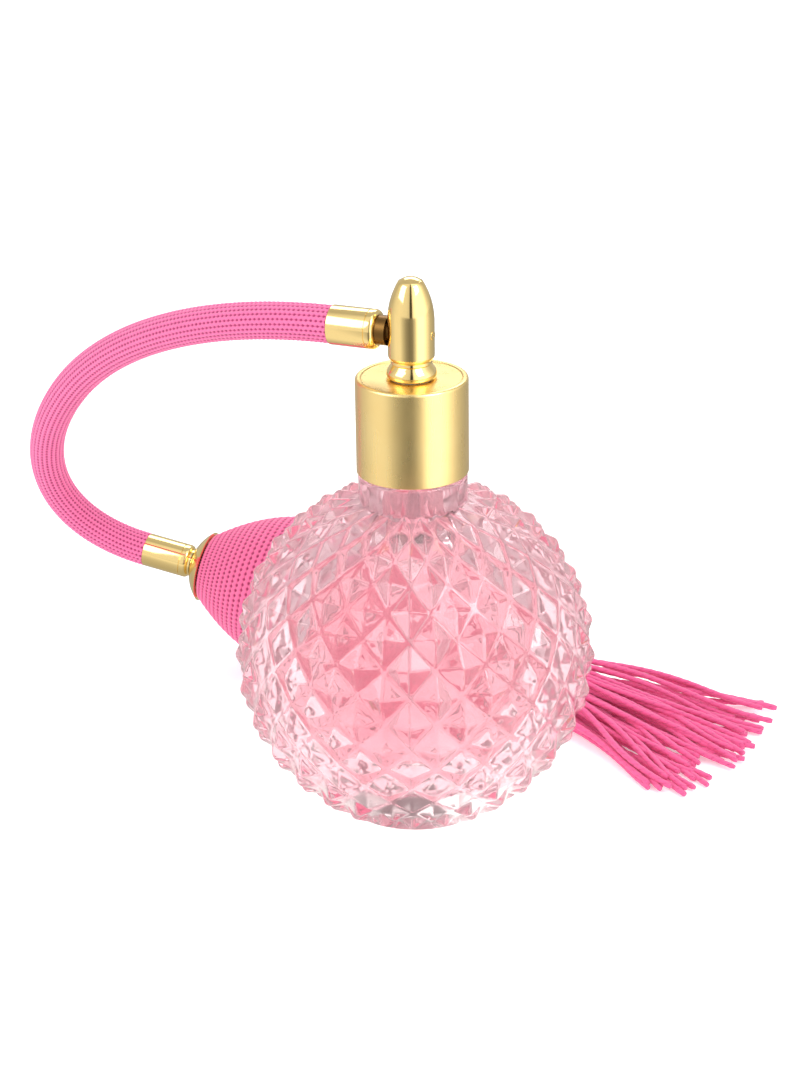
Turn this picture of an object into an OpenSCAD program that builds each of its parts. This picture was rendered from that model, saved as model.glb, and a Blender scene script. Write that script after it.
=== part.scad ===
// Round perfume atomiser: a pressed glass ball bottle with a screw collar, a
// swivelling spray head, and a sleeved hose to a knit-covered squeeze bulb
// with a tassel. Millimetres, +Z up. The origin is the middle of the flat
// base; +X is to the right of the front view and +Y to its back.

/* [Glass ball] */

// Ball diameter over the points of the pressed diamonds
ball_d = 80; // [60:1:110]
// Height of the ball's centre above the flat base
ball_z = 36; // [30:0.5:50]
// Height of a diamond's point above its grooves
facet_depth = 2.4; // [1:0.1:4]
// Diamonds around the ball
facets_around = 21; // [12:1:30]
// Degrees of latitude between rows of points
row_step = 9; // [7:1:12]
// Radius of the flat base
base_r = 17; // [12:0.5:22]
// Radius of the round hollow inside
cavity_r = 31; // [24:0.5:34]

/* [Neck and thread] */

// Radius of the smooth glass ring under the collar
shoulder_r = 11.8; // [10:0.1:14]
// Top of the smooth glass ring
shoulder_z = 78.3; // [70:0.1:90]
// Radius of the neck under its thread
neck_r = 9; // [8:0.1:10]
// Radius of the hole through the neck
neck_bore_r = 6.6; // [5:0.1:7.5]
// Top of the neck
neck_z = 94; // [86:0.5:100]
// Screw thread pitch
thread_pitch = 4; // [2:0.5:5]
// Turns of thread on the neck
thread_turns = 1.5; // [1:0.25:2]

/* [Collar] */

// Outer radius of the gold collar
collar_r = 12.1; // [10:0.1:15]
// Lower edge of the collar
collar_z = 78.6; // [70:0.1:90]
// Top of the collar's rim
collar_top = 99.8; // [90:0.1:110]
// Top of the collar's flat plate, just below its rim
plate_z = 99.5; // [90:0.1:110]
// Thickness of the gold shell
shell_t = 0.5; // [0.3:0.1:1]

/* [Spray head] */

// Radius of the bullet-shaped head
head_r = 5; // [4:0.1:8]
// Tip of the head
head_top = 121.7; // [110:0.1:140]
// Height of the hose and of the nozzle
nipple_z = 109.3; // [104:0.1:114]
// Direction of the hose, in degrees from +X
hose_azimuth = 158; // [90:1:200]

/* [Hose and ferrules] */

// Outer radius of the knitted hose sleeve
hose_r = 4.15; // [3:0.05:6]
// Radius of the front ferrule
front_ferrule_r = 4.3; // [3:0.1:6]
// Radius of the rear ferrule
rear_ferrule_r = 4.1; // [3:0.1:6]
// Length of the front ferrule
front_ferrule_l = 10.7; // [8:0.1:16]
// Length of the rear ferrule
rear_ferrule_l = 11.8; // [8:0.1:16]

/* [Squeeze bulb] */

// Middle of the gold cup's rim
cup_centre = [-51, 75, 24.4];
// Direction of the bulb, in degrees from +X
bulb_azimuth = -18; // [-40:1:20]
// Slope of the bulb down to its tassel end
bulb_tilt = 10; // [0:1:20]
// Largest radius of the bulb over its cover
bulb_r = 19; // [15:0.5:25]
// Thickness of the knitted cover
cover_t = 1.2; // [0.8:0.1:2]

/* [Tassel] */

// Middle of the tassel's wrapped head
tassel_centre = [14.3, 53.3, 9.5];
// Direction of the fan's middle, in degrees from +X
tassel_azimuth = -32; // [-90:1:0]
// Half the angle that the fan spreads over
tassel_spread = 23; // [10:1:40]
// Length of the strands from the head
tassel_l = 75; // [40:1:100]

/* [Hidden] */

$fn = 64;

// Glass ball
tip_r = ball_d / 2;
groove_r = tip_r - facet_depth;
columns = 2 * facets_around;
first_row = -63;
top_row = 72;
rows = (top_row - first_row) / row_step;
column_turn = -92.2;

// Neck, thread and collar
thread_depth = 1;
thread_half = 0.65;
thread_z = neck_z - 10.5;
thread_step = 15;
root_sink = 0.4;
closure_r = collar_r - shell_t;
closure_bore = 10.3;
closure_crest = 9.4;
closure_lugs = 8;
closure_z = collar_z + 0.6;
closure_hole = 4.8;
rim_round = 0.7;
rim_w = 0.3;
plate_under = plate_z - shell_t;
plug_under = plate_under - 1;

// Gasket and stem
gasket_z = neck_z + 0.05;
gasket_t = 1.15;
flange_z = gasket_z + gasket_t;
flange_t = plug_under - flange_z - 0.1;
stem_r = 3.2;
stem_wide_r = 4.2;
boss_z = plate_z + 0.3;
stem_top = 112;
spigot_r = 3.6;
spigot_z = 88.5;
tube_r = 1.5;
tube_hole = 0.9;
tube_z = 8;
tube_top = 97;
ring_r = 0.9;
ring_z = 91.5;

// Spray head
groove_z = 102.9;
head_groove_r = 4.1;
head_straight_z = 104.8;
ogive_z = 112;
ogive_r = 17.4;
ogive_end = 120.8;
tip_round = 3.9;
nozzle_r = 1;
channel_r = 0.7;

// Hose
ferrule_start = 7.3;
ferrule_wall = 0.5;
nipple_r = 2.2;
nipple_flange = 3.2;
spigot_hose_r = 1.9;
barb_r = 2.1;
tube_wall_in = 2.25;
tube_wall_out = 2.95;
sleeve_in = 3.15;
hose_sides = 12;
hose_inset = 8;
hose_axis = [cos(hose_azimuth), sin(hose_azimuth), 0];
bulb_axis = [cos(bulb_azimuth) * cos(bulb_tilt),
             sin(bulb_azimuth) * cos(bulb_tilt),
             -sin(bulb_tilt)];
head_point = [0, 0, nipple_z];
cup_apex = -4.1;
mouth_gap = 0.1;
front_mouth = head_point + (ferrule_start + front_ferrule_l + mouth_gap) * hose_axis;
rear_mouth = cup_centre + (cup_apex - rear_ferrule_l - mouth_gap) * bulb_axis;
straight = 0.6;
front_lead = front_mouth + straight * hose_axis;
rear_lead = rear_mouth - straight * bulb_axis;
hose_steps = 14;
hose_middle = [-79.9, 55.9, 77.8];
hose_middle_dir = [-0.441, 0.584, -0.681];
hose_pull_front = 27.9;
hose_pull_rear = 23.6;
hose_pull_middle = [29.1, 35.9];
hose_route = concat(
    [front_mouth],
    curve(front_lead, front_lead + hose_pull_front * hose_axis,
          hose_middle - hose_pull_middle[0] * hose_middle_dir, hose_middle, 0, hose_steps),
    curve(hose_middle, hose_middle + hose_pull_middle[1] * hose_middle_dir,
          rear_lead - hose_pull_rear * bulb_axis, rear_lead, 1, hose_steps),
    [rear_mouth]);
tube_route = concat([front_mouth - hose_inset * hose_axis], hose_route,
                    [rear_mouth + hose_inset * bulb_axis]);

// Bulb, all lengths along its axis from the cup's rim
bulb_wide = 27;
bulb_near = 35.2;
bulb_far = 31.5;
cover_start = 0.6;
cover_end = 57.6;
cover_hole = 3.6;
bladder_gap = 0.4;
bladder_t = 1.5;
bladder_start = 2;
bladder_end = 55.4;
bladder_hole = 2.8;
cup_r = 8.7;
cup_curve = 11.5;
cup_t = 0.6;
stem_shank = 2.6;
valve_ball_r = 1.5;
valve_bore = 1;
valve_pocket = 1.9;
intake_r = 2.5;
intake_flange = 4.2;
loop_r = 2.4;
loop_cord = 0.8;
loop_s = cover_end + 4.9;
link_step = 2.6;
link_clearance = 0.05;

// Tassel
tassel_tilt = 22;
tassel_head_r = 4.2;
bind_r = 3.3;
bind_from = 2.9;
bind_to = 6.4;
fan_posts = 5;
fan_t = 3;
post_r = 2;

gold = "goldenrod";
pink = "hotpink";
clear_plastic = "whitesmoke";

// ---- shared functions ----

function unit(v) = v / norm(v);

// A point on a circle about [cr, cz], in a revolved outline
function arc_point(cr, cz, r, a) = [cr + r * cos(a), cz + r * sin(a)];
function arc(cr, cz, r, from, to, n) =
    [for (i = [0:n]) arc_point(cr, cz, r, from + (to - from) * i / n)];

// Outer radius of the bulb's cover at a distance s from the cup's rim
function bulb_radius(s) = s < bulb_wide
    ? bulb_r * (1 - pow((bulb_wide - s) / bulb_near, 2))
    : bulb_r * sqrt(1 - pow((s - bulb_wide) / bulb_far, 2));

// Points from one end of a smooth curve to the other, drawn by its two handles
function curve(a, b, c, d, first, steps) = [for (i = [first:steps]) let (t = i / steps, u = 1 - t)
    u * u * u * a + 3 * u * u * t * b + 3 * u * t * t * c + t * t * t * d];

// Direction of a route at point i
function route_dir(p, i) = unit(p[min(i + 1, len(p) - 1)] - p[max(i - 1, 0)]);

// One ring of points around a route
function ring_at(p, dir, r, sides) =
    let (side = unit(cross(dir, [0, 1, 0])), up = cross(side, dir))
    [for (k = [0:sides - 1]) p + r * (cos(360 * k / sides) * side + sin(360 * k / sides) * up)];

// ---- shared modules ----

// A hollow tube swept along a route, as one closed skin
module swept_tube(route, r_out, r_in, sides) {
    n = len(route);
    outer = [for (i = [0:n - 1]) each ring_at(route[i], route_dir(route, i), r_out, sides)];
    inner = [for (i = [0:n - 1]) each ring_at(route[i], route_dir(route, i), r_in, sides)];
    m = n * sides;
    walls = [for (i = [0:n - 2], k = [0:sides - 1])
        let (a = i * sides + k, b = i * sides + (k + 1) % sides)
        each [[a, b, a + sides], [b, b + sides, a + sides]]];
    bore = [for (f = walls) [m + f[0], m + f[2], m + f[1]]];
    ends = [for (k = [0:sides - 1])
        let (j = (k + 1) % sides, e = m - sides)
        each [[k, m + k, j], [j, m + k, m + j],
              [e + k, e + j, m + e + k], [e + j, m + e + j, m + e + k]]];
    polyhedron(points = concat(outer, inner), faces = concat(walls, bore, ends));
}

// A helical rib with a flat-topped section, winding up from z = 0
module thread_rib(r_root, r_crest, half_root, half_crest, pitch, turns) {
    steps = floor(turns * 360 / thread_step);
    points = [for (i = [0:steps])
        let (a = i * thread_step, z = pitch * a / 360)
        each [[r_root * cos(a), r_root * sin(a), z - half_root],
              [r_crest * cos(a), r_crest * sin(a), z - half_crest],
              [r_crest * cos(a), r_crest * sin(a), z + half_crest],
              [r_root * cos(a), r_root * sin(a), z + half_root]]];
    sides = [for (i = [0:steps - 1], k = [0:3])
        let (a = 4 * i + k, b = 4 * i + (k + 1) % 4)
        each [[a, a + 4, b], [b, a + 4, b + 4]]];
    last = 4 * steps;
    caps = [[0, 1, 2], [0, 2, 3], [last, last + 2, last + 1], [last, last + 3, last + 2]];
    polyhedron(points = points, faces = concat(sides, caps));
}

// A round cup-ended sleeve: closed and rounded at z = 0, open at z = length
module ferrule_shell(r, length, hole) {
    end_round = 1;
    end_wall = 0.8;
    line_z = 2;
    line_w = 0.25;
    rotate_extrude()
        polygon(concat(
            [[hole, 0]],
            arc(r - end_round, end_round, end_round, -90, 0, 6),
            [[r, line_z - line_w], [r - line_w, line_z], [r, line_z + line_w],
             [r, length - line_w], [r - line_w, length],
             [r - ferrule_wall, length], [r - ferrule_wall, end_wall], [hole, end_wall]]));
}

// Pointing along the hose from the middle of the head
module toward_hose() {
    translate(head_point)
        rotate([0, 90, hose_azimuth])
            children();
}

// Pointing along the bulb from the middle of the cup's rim
module along_bulb() {
    translate(cup_centre)
        rotate([0, 90 + bulb_tilt, bulb_azimuth])
            children();
}

// Pointing along the tassel from the middle of its head
module along_tassel() {
    translate(tassel_centre)
        rotate([0, 90 + tassel_tilt, tassel_azimuth])
            children();
}

// A solid of revolution between two outlines of the bulb
module bulb_layer(inset, thickness, from, to, near_hole, far_hole, neck) {
    steps = 22;
    span = to - from;
    in_from = from + neck;
    in_span = to - thickness - in_from;
    rotate_extrude()
        polygon(concat(
            [[near_hole, from]],
            [for (i = [0:steps]) [bulb_radius(from + span * i / steps) - inset, from + span * i / steps]],
            [[far_hole, to]],
            [[far_hole, in_from + in_span]],
            [for (i = [steps:-1:0])
                [max(bulb_radius(in_from + in_span * i / steps) - inset - thickness, near_hole + 0.2),
                 in_from + in_span * i / steps - (i == steps ? 0.1 : 0)]],
            [[near_hole, in_from]]));
}

// ---- glass bottle ----

// Ball skin: points and grooves take turns in rows and columns
module diamond_ball() {
    function node_r(i, j) = i == 0 || i == rows || (i + j) % 2 == 0 ? groove_r : tip_r;
    function node_point(i, j) =
        let (lat = first_row + i * row_step, lon = column_turn + j * 360 / columns, r = node_r(i, j))
        i == 0
            ? [base_r * cos(lon), base_r * sin(lon), 0]
            : [r * cos(lat) * cos(lon), r * cos(lat) * sin(lon), ball_z + r * sin(lat)];
    points = [for (i = [0:rows], j = [0:columns - 1]) node_point(i, j)];
    cells = [for (i = [0:rows - 1], j = [0:columns - 1])
        let (k = (j + 1) % columns,
             a = i * columns + j, b = i * columns + k,
             c = (i + 1) * columns + k, d = (i + 1) * columns + j)
        each (i + j) % 2 == 0
            ? [[a, c, b], [a, d, c]]
            : [[a, d, b], [b, d, c]]];
    base = [for (j = [0:columns - 1]) j];
    crown = [for (j = [columns - 1:-1:0]) rows * columns + j];
    polyhedron(points = points, faces = concat(cells, [base, crown]));
}

module bottle() {
    fillet = 1;
    color("pink", 0.6)
        difference() {
            union() {
                diamond_ball();
                rotate_extrude()
                    polygon(concat(
                        [[0, ball_z + cavity_r + 2], [shoulder_r - 0.1, ball_z + cavity_r + 2]],
                        [[shoulder_r, shoulder_z - fillet]],
                        arc(shoulder_r - fillet, shoulder_z - fillet, fillet, 0, 90, 5),
                        [[neck_r, shoulder_z], [neck_r, neck_z - 0.5],
                         [neck_r - 0.5, neck_z], [0, neck_z]]));
                translate([0, 0, thread_z])
                    thread_rib(neck_r - root_sink, neck_r + thread_depth,
                               thread_half, thread_half / 2, thread_pitch, thread_turns);
            }
            translate([0, 0, ball_z])
                sphere(r = cavity_r);
            translate([0, 0, ball_z])
                cylinder(r = neck_bore_r, h = neck_z);
        }
}

module neck_gasket() {
    color("white")
        translate([0, 0, gasket_z])
            difference() {
                cylinder(r = neck_r - 0.5, h = gasket_t);
                translate([0, 0, -1])
                    cylinder(r = spigot_r + 0.6, h = gasket_t + 2);
            }
}

// ---- collar ----

module collar_shell() {
    inner_rim = collar_r - rim_round - rim_w;
    color(gold)
        rotate_extrude()
            polygon(concat(
                [[closure_r, collar_z], [collar_r - 0.2, collar_z], [collar_r, collar_z + 0.2]],
                arc(collar_r - rim_round, collar_top - rim_round, rim_round, 0, 90, 8),
                arc(inner_rim, collar_top - 0.3, 0.3, 90, 150, 3),
                [[inner_rim - 0.5, plate_z], [closure_hole, plate_z],
                 [closure_hole, plate_under], [closure_r, plate_under]]));
}

module screw_closure() {
    lug_w = 3;
    lug_h = 1.2;
    lug_depth = closure_bore - closure_crest + root_sink;
    color(clear_plastic) {
        difference() {
            translate([0, 0, closure_z])
                cylinder(r = closure_r, h = plate_under - closure_z);
            translate([0, 0, closure_z - 1])
                cylinder(r = closure_bore, h = plug_under - closure_z + 1);
            translate([0, 0, closure_z])
                cylinder(r = closure_hole, h = plate_under);
        }
        // An interrupted thread: lugs in the gaps of the neck's thread
        for (i = [0:closure_lugs - 1])
            rotate([0, 0, 180 + 360 * i / closure_lugs])
                translate([closure_crest + lug_depth / 2, 0, thread_z + thread_pitch * i / closure_lugs])
                    rotate([atan(thread_pitch / (2 * PI * closure_bore)), 0, 0])
                        cube([lug_depth, lug_w, lug_h], center = true);
    }
}

// ---- spray head ----

module swivel_boss() {
    color(gold)
        rotate_extrude()
            polygon([[stem_r, boss_z], [5.15, boss_z], [5.35, boss_z + 0.2],
                     [5.4, boss_z + 0.6], [5.35, boss_z + 1.1], [5.2, boss_z + 1.6],
                     [4.9, boss_z + 2.1], [4.5, groove_z - 0.5], [4.2, groove_z - 0.2],
                     [head_groove_r, groove_z], [stem_r, groove_z]]);
}

module head_body() {
    side = [for (z = [ogive_z:0.8:ogive_end])
        [head_r - ogive_r + sqrt(pow(ogive_r, 2) - pow(z - ogive_z, 2)), z]];
    color(gold)
        difference() {
            rotate_extrude()
                polygon(concat(
                    [[0, groove_z], [head_groove_r, groove_z], [4.5, groove_z + 0.4],
                     [4.9, groove_z + 1], [head_r, head_straight_z]],
                    side,
                    [for (a = [58:8:90]) arc_point(0, head_top - tip_round, tip_round, a)]));
            translate([0, 0, groove_z - 1])
                cylinder(r = stem_r, h = stem_top - groove_z + 1);
            toward_hose()
                cylinder(r = nipple_r, h = head_r + 1);
            toward_hose()
                rotate([180, 0, 0])
                    cylinder(r = nozzle_r, h = head_r + 1);
        }
}

module stem_core() {
    color(clear_plastic)
        difference() {
            union() {
                translate([0, 0, spigot_z])
                    cylinder(r = spigot_r, h = flange_z - spigot_z);
                translate([0, 0, flange_z])
                    cylinder(r = neck_r - 0.6, h = flange_t);
                translate([0, 0, flange_z])
                    cylinder(r = stem_wide_r, h = boss_z - flange_z);
                translate([0, 0, boss_z])
                    cylinder(r = stem_r, h = stem_top - boss_z);
            }
            translate([0, 0, ring_z])
                rotate_extrude()
                    translate([spigot_r + ring_r - 0.2, 0])
                        circle(r = ring_r);
            translate([0, 0, spigot_z - 1])
                cylinder(r = tube_r, h = tube_top - spigot_z + 1);
            translate([0, 0, spigot_z])
                cylinder(r = channel_r, h = nipple_z - spigot_z);
            toward_hose()
                translate([0, 0, -stem_r - 1])
                    cylinder(r = channel_r, h = 2 * stem_r + 2);
        }
}

module stem_o_ring() {
    color("black")
        translate([0, 0, ring_z])
            rotate_extrude()
                translate([spigot_r + ring_r - 0.2, 0])
                    circle(r = ring_r);
}

module dip_tube() {
    color("white", 0.6)
        translate([0, 0, tube_z])
            difference() {
                cylinder(r = tube_r, h = tube_top - tube_z);
                translate([0, 0, -1])
                    cylinder(r = tube_hole, h = tube_top - tube_z + 2);
            }
}

module nozzle_insert() {
    proud = 0.05;
    orifice_r = 0.3;
    pocket_l = 1.2;
    color(gold)
        toward_hose()
            rotate([180, 0, 0])
                difference() {
                    translate([0, 0, stem_r])
                        cylinder(r = nozzle_r, h = head_r - stem_r + proud);
                    translate([0, 0, stem_r - 1])
                        cylinder(r = 0.65, h = pocket_l + 1);
                    translate([0, 0, stem_r])
                        cylinder(r = orifice_r, h = head_r);
                }
}

module nozzle_core() {
    color(clear_plastic)
        toward_hose()
            rotate([180, 0, 0])
                translate([0, 0, stem_r])
                    cylinder(r = 0.45, h = 1);
}

module hose_nipple() {
    barbs = 3;
    color(gold)
        toward_hose()
            difference() {
                union() {
                    translate([0, 0, stem_r])
                        cylinder(r = nipple_r, h = ferrule_start + 0.8 - stem_r);
                    translate([0, 0, head_r + 0.05])
                        cylinder(r = nipple_flange, h = ferrule_start - head_r - 0.1);
                    translate([0, 0, ferrule_start + 0.8])
                        cylinder(r = spigot_hose_r, h = 8.6);
                    for (i = [0:barbs - 1])
                        translate([0, 0, ferrule_start + 4.2 + 1.8 * i])
                            cylinder(r1 = barb_r, r2 = spigot_hose_r, h = 1.2);
                }
                translate([0, 0, stem_r - 1])
                    cylinder(r = channel_r + 0.2, h = 20);
            }
}

module front_ferrule() {
    color(gold)
        toward_hose()
            translate([0, 0, ferrule_start])
                ferrule_shell(front_ferrule_r, front_ferrule_l, nipple_r);
}

// ---- hose ----

module hose_tube() {
    color("white")
        swept_tube(tube_route, tube_wall_out, tube_wall_in, hose_sides);
}

module hose_sleeve() {
    color(pink)
        swept_tube(hose_route, hose_r, sleeve_in, hose_sides);
}

// ---- bulb ----

module rear_ferrule() {
    color(gold)
        along_bulb()
            translate([0, 0, cup_apex])
                mirror([0, 0, 1])
                    ferrule_shell(rear_ferrule_r, rear_ferrule_l, nipple_r);
}

module bulb_stem() {
    shank_end = 9;
    pocket_s = 2;
    color(gold)
        along_bulb()
            difference() {
                union() {
                    translate([0, 0, cup_apex - 9.4])
                        cylinder(r = spigot_hose_r, h = 9.4);
                    for (i = [0:2])
                        translate([0, 0, cup_apex - 5.4 - 1.8 * i])
                            cylinder(r2 = barb_r, r1 = spigot_hose_r, h = 1.2);
                    translate([0, 0, cup_apex - 0.8])
                        cylinder(r = nipple_r, h = 0.8);
                    translate([0, 0, cup_apex])
                        cylinder(r = 3.2, h = 0.5);
                    translate([0, 0, cup_apex])
                        cylinder(r = stem_shank, h = shank_end - cup_apex);
                }
                translate([0, 0, cup_apex - 10])
                    cylinder(r = valve_bore, h = 30);
                translate([0, 0, pocket_s])
                    cylinder(r = valve_pocket, h = 10);
            }
}

module outlet_valve_ball() {
    color("silver")
        along_bulb()
            translate([0, 0, 5])
                sphere(r = valve_ball_r);
}

module outlet_valve_retainer() {
    color(clear_plastic)
        along_bulb()
            translate([0, 0, 7.6])
                difference() {
                    cylinder(r = valve_pocket, h = 1.4);
                    translate([0, 0, -1])
                        cylinder(r = 0.8, h = 4);
                }
}

module bulb_cup() {
    centre_s = cup_apex + 0.2 + cup_curve;
    hole_a = asin(stem_shank / cup_curve);
    rim_a = asin(cup_r / cup_curve);
    inner_hole_a = asin(stem_shank / (cup_curve - cup_t));
    inner_rim_a = asin((cup_r - cup_t) / (cup_curve - cup_t));
    color(gold)
        along_bulb()
            rotate_extrude()
                polygon(concat(
                    arc(0, centre_s, cup_curve, -90 + hole_a, -90 + rim_a, 10),
                    arc(0, centre_s, cup_curve - cup_t, -90 + inner_rim_a, -90 + inner_hole_a, 10)));
}

module bulb_bladder() {
    color("dimgray")
        along_bulb()
            bulb_layer(cover_t + bladder_gap, bladder_t, bladder_start, bladder_end,
                       bladder_hole, bladder_hole, 5);
}

module bulb_cover() {
    color(pink)
        along_bulb()
            bulb_layer(0, cover_t, cover_start, cover_end, cover_hole, cover_hole, 1);
}

module intake_valve_body() {
    shank_s = 50;
    color(gold)
        along_bulb()
            difference() {
                union() {
                    translate([0, 0, shank_s])
                        cylinder(r = intake_r, h = cover_end + 0.1 - shank_s);
                    translate([0, 0, cover_end + 0.1])
                        cylinder(r = intake_flange, h = 1.6);
                }
                translate([0, 0, shank_s - 1])
                    cylinder(r = 1.7, h = 6);
                translate([0, 0, shank_s])
                    cylinder(r = 0.8, h = 12);
            }
}

module intake_valve_ball() {
    color("silver")
        along_bulb()
            translate([0, 0, 53.3])
                sphere(r = 1.3);
}

module intake_valve_retainer() {
    color(clear_plastic)
        along_bulb()
            translate([0, 0, 50])
                difference() {
                    cylinder(r = 1.7, h = 0.8);
                    translate([0, 0, -1])
                        cylinder(r = 0.8, h = 3);
                }
}

// ---- tassel ----

module cord_ring(grow = 0) {
    rotate_extrude()
        translate([loop_r, 0])
            circle(r = loop_cord + grow, $fn = 24);
}

module tassel_loop() {
    color(pink)
        along_bulb()
            translate([0, 0, loop_s])
                rotate([90, 0, 0])
                    cord_ring();
}

module tassel_link() {
    color(pink)
        along_bulb()
            translate([0, 0, loop_s + link_step])
                rotate([0, 90, 0])
                    cord_ring();
}

// The link's cord is let into the head
module tassel_head() {
    color(pink)
        difference() {
            along_tassel()
                sphere(r = tassel_head_r);
            along_tassel()
                translate([0, 0, bind_from + 5])
                    cube(10, center = true);
            along_bulb()
                translate([0, 0, loop_s + link_step])
                    rotate([0, 90, 0])
                        cord_ring(link_clearance);
        }
}

module tassel_binding() {
    color(pink)
        along_tassel()
            difference() {
                translate([0, 0, bind_from])
                    cylinder(r = bind_r + 0.6, h = bind_to - bind_from);
                translate([0, 0, bind_from - 1])
                    cylinder(r = bind_r, h = bind_to);
            }
}

module tassel_strands() {
    foot = [tassel_centre[0], tassel_centre[1], 0.05];
    color(pink)
        union() {
            along_tassel()
                translate([0, 0, bind_from])
                    cylinder(r = bind_r, h = bind_to - bind_from, $fn = 32);
            hull() {
                along_tassel()
                    translate([0, 0, bind_to - 1])
                        cylinder(r = bind_r - 0.05, h = 1.5, $fn = 32);
                for (i = [0:fan_posts - 1])
                    translate(foot)
                        rotate([0, 0, tassel_azimuth + tassel_spread * (2 * i / (fan_posts - 1) - 1)])
                            translate([tassel_l - post_r, 0, 0])
                                cylinder(r = post_r, h = fan_t, $fn = 24);
            }
        }
}

// ---- what is drawn ----

bottle();
neck_gasket();
collar_shell();
screw_closure();
swivel_boss();
head_body();
stem_core();
stem_o_ring();
dip_tube();
nozzle_insert();
nozzle_core();
hose_nipple();
front_ferrule();
hose_tube();
hose_sleeve();
rear_ferrule();
bulb_stem();
outlet_valve_ball();
outlet_valve_retainer();
bulb_cup();
bulb_bladder();
bulb_cover();
intake_valve_body();
intake_valve_ball();
intake_valve_retainer();
tassel_loop();
tassel_link();
tassel_head();
tassel_binding();
tassel_strands();
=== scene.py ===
"""The looks of the perfume atomiser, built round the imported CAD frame.

Everything is in metres, in the frame of the CAD: +Z up, the origin in the
middle of the bottle's flat base, and +Y to the back, where the bulb lies.
"""
import math
import random

import bmesh
import bpy
import numpy as np
from mathutils import Euler, Matrix, Vector


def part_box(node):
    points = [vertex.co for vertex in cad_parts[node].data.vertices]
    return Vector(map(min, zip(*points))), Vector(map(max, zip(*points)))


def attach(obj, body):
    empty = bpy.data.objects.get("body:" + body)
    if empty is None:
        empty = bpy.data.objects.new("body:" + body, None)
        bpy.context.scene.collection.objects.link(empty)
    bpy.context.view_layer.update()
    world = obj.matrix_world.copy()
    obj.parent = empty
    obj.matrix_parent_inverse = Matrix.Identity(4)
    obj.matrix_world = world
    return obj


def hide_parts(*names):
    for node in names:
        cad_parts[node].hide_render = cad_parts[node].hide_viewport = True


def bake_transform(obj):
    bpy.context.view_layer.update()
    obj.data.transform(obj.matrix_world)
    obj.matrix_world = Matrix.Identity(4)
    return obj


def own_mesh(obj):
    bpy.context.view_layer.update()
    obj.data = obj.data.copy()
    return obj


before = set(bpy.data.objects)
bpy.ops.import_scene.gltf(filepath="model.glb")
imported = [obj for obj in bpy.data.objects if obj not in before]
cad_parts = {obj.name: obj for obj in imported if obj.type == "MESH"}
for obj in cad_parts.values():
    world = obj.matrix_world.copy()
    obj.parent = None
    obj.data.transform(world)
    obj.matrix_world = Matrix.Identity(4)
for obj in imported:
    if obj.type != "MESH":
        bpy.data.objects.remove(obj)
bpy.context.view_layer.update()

MM = 0.001

# ---- camera: the photograph's viewing angle ----
CAMERA_AT = (-0.0030, -0.5434, 0.2903)
CAMERA_DOWN = math.radians(22.9)
CAMERA_ROLL = math.radians(-0.85)
CAMERA_LENS = 89.5


def make_camera():
    data = bpy.data.cameras.new("camera")
    data.lens = CAMERA_LENS
    data.sensor_width = 36.0
    data.clip_start = 0.01
    camera = bpy.data.objects.new("camera", data)
    bpy.context.scene.collection.objects.link(camera)
    tilt = Matrix.Rotation(math.pi / 2 - CAMERA_DOWN, 4, "X")
    roll = Matrix.Rotation(CAMERA_ROLL, 4, "Z")
    camera.matrix_world = Matrix.Translation(CAMERA_AT) @ tilt @ roll
    bpy.context.scene.camera = camera


make_camera()

# ---- node material helpers ----


def new_material(name):
    material = bpy.data.materials.new(name)
    material.use_nodes = True
    shader = material.node_tree.nodes["Principled BSDF"]
    return material, material.node_tree, shader


def add_node(tree, kind, **values):
    node = tree.nodes.new(kind)
    for key, value in values.items():
        setattr(node, key, value)
    return node


def noise(tree, scale, detail=3.0, rough=0.55, stretch=(1, 1, 1)):
    """Noise on the piece's own coordinates; scale is in cycles per metre."""
    place = add_node(tree, "ShaderNodeTexCoord")
    mapping = add_node(tree, "ShaderNodeMapping")
    mapping.inputs["Scale"].default_value = stretch
    texture = add_node(tree, "ShaderNodeTexNoise")
    texture.inputs["Scale"].default_value = scale
    texture.inputs["Detail"].default_value = detail
    texture.inputs["Roughness"].default_value = rough
    tree.links.new(place.outputs["Object"], mapping.inputs["Vector"])
    tree.links.new(mapping.outputs["Vector"], texture.inputs["Vector"])
    return texture.outputs["Fac"]


def ramp(tree, fac, stops):
    """A colour ramp; stops are (position, colour)."""
    node = add_node(tree, "ShaderNodeValToRGB")
    elements = node.color_ramp.elements
    while len(elements) > 1:
        elements.remove(elements[-1])
    for i, (position, colour) in enumerate(stops):
        element = elements[0] if i == 0 else elements.new(position)
        element.position = position
        element.color = (*colour, 1)
    tree.links.new(fac, node.inputs["Fac"])
    return node.outputs["Color"]


def spread(tree, fac, low, high):
    """A value between low and high, following fac."""
    node = add_node(tree, "ShaderNodeMapRange")
    node.inputs["From Min"].default_value = 0.3
    node.inputs["From Max"].default_value = 0.7
    node.inputs["To Min"].default_value = low
    node.inputs["To Max"].default_value = high
    tree.links.new(fac, node.inputs["Value"])
    return node.outputs["Result"]


def bump(tree, shader, height, strength, distance):
    node = add_node(tree, "ShaderNodeBump")
    node.inputs["Strength"].default_value = strength
    node.inputs["Distance"].default_value = distance
    tree.links.new(height, node.inputs["Height"])
    tree.links.new(node.outputs["Normal"], shader.inputs["Normal"])


# ---- materials ----


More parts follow.
